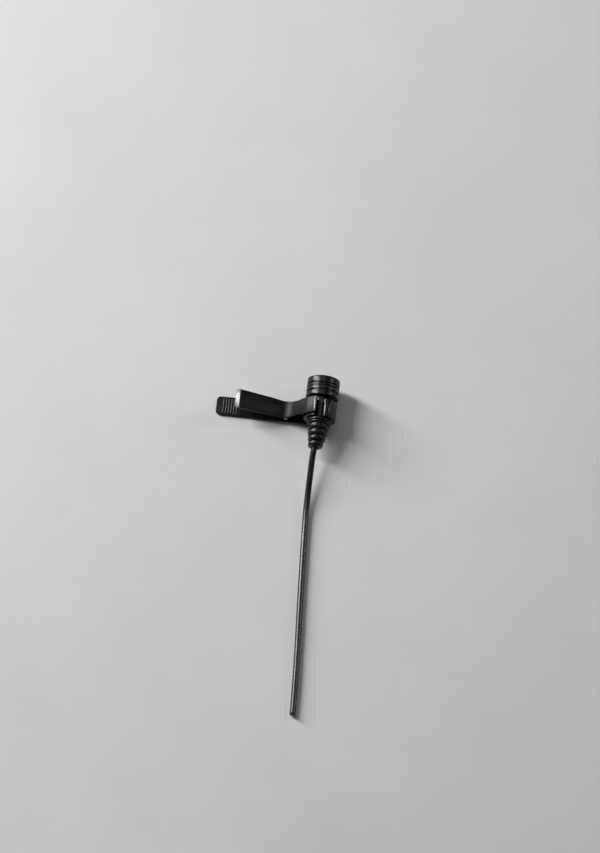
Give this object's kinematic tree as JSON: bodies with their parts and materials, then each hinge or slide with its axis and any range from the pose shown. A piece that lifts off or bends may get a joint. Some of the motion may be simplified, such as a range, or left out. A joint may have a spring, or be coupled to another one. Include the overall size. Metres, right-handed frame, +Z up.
{
  "type": "lavalier microphone",
  "caption": "Clip-on condenser microphone: ribbed sound head and strain relief in a sprung collar on a pinch clip, with a thin cord.",
  "frame": {"origin": "under the middle of the clip and the microphone, without the cord, on the face that the clip rests on", "axes": "+X along the clip from the finger end to the jaws, +Y along the microphone towards the sound head, +Z up from the rest face"},
  "size_m": [0.0434, 0.1249, 0.0136],
  "materials": {
    "clip_black": "satin black on spring steel, edges rubbed brighter",
    "collar_black": "semi-gloss black on spring steel",
    "spring_steel": "plain spring steel",
    "head_black": "semi-gloss black",
    "boot_rubber": "smooth black rubber",
    "cord_jacket": "satin black cord jacket",
    "screen_mesh": "fine woven wire",
    "dust_felt": "thin black felt",
    "capsule_aluminium": "drawn aluminium",
    "capsule_brass": "plain brass",
    "diaphragm_film": "metal-coated polymer film",
    "insulator": "natural moulded plastic",
    "component_black": "moulded epoxy",
    "circuit_board": "green solder resist",
    "solder": "tinned",
    "wire_red": "insulated wire",
    "wire_white": "insulated wire"
  },
  "bodies": {
    "lower_clip": {"lower_lever": "clip_black", "hinge_pin": "spring_steel", "torsion_spring": "spring_steel"},
    "upper_clip": {"upper_lever": "clip_black", "collar": "collar_black"},
    "microphone": {"head_cap": "head_black", "front_screen": "screen_mesh", "dust_felt": "dust_felt", "capsule_sleeve": "boot_rubber", "capsule_can": "capsule_aluminium", "diaphragm_ring": "capsule_brass", "diaphragm": "diaphragm_film", "spacer_ring": "insulator", "backplate": "capsule_brass", "backplate_holder": "insulator", "field_effect_transistor": "component_black", "capsule_board": "circuit_board", "solder_pad_signal": "solder", "solder_pad_ground": "solder", "signal_wire": "wire_red", "ground_wire": "wire_white", "cable_crimp": "capsule_brass", "body_shell": "head_black", "strain_relief": "boot_rubber", "cable": "cord_jacket"}
  },
  "joints": [
    {"name": "clip_hinge", "type": "hinge", "parent": "lower_clip", "child": "upper_clip", "pos_m": [0.00359, 0.0014, 0.00195], "axis": [0, -1, 0], "range_deg": [0, 22], "stiffness_Nm_per_rad": 0.02, "springref_deg": -20.05, "deforming": ["torsion_spring"]},
    {"name": "mic_turn", "type": "hinge", "parent": "upper_clip", "child": "microphone", "pos_m": [0.01582, 0.0008, 0.0068], "axis": [0, 1, 0], "range_deg": [-90, 90]}
  ]
}
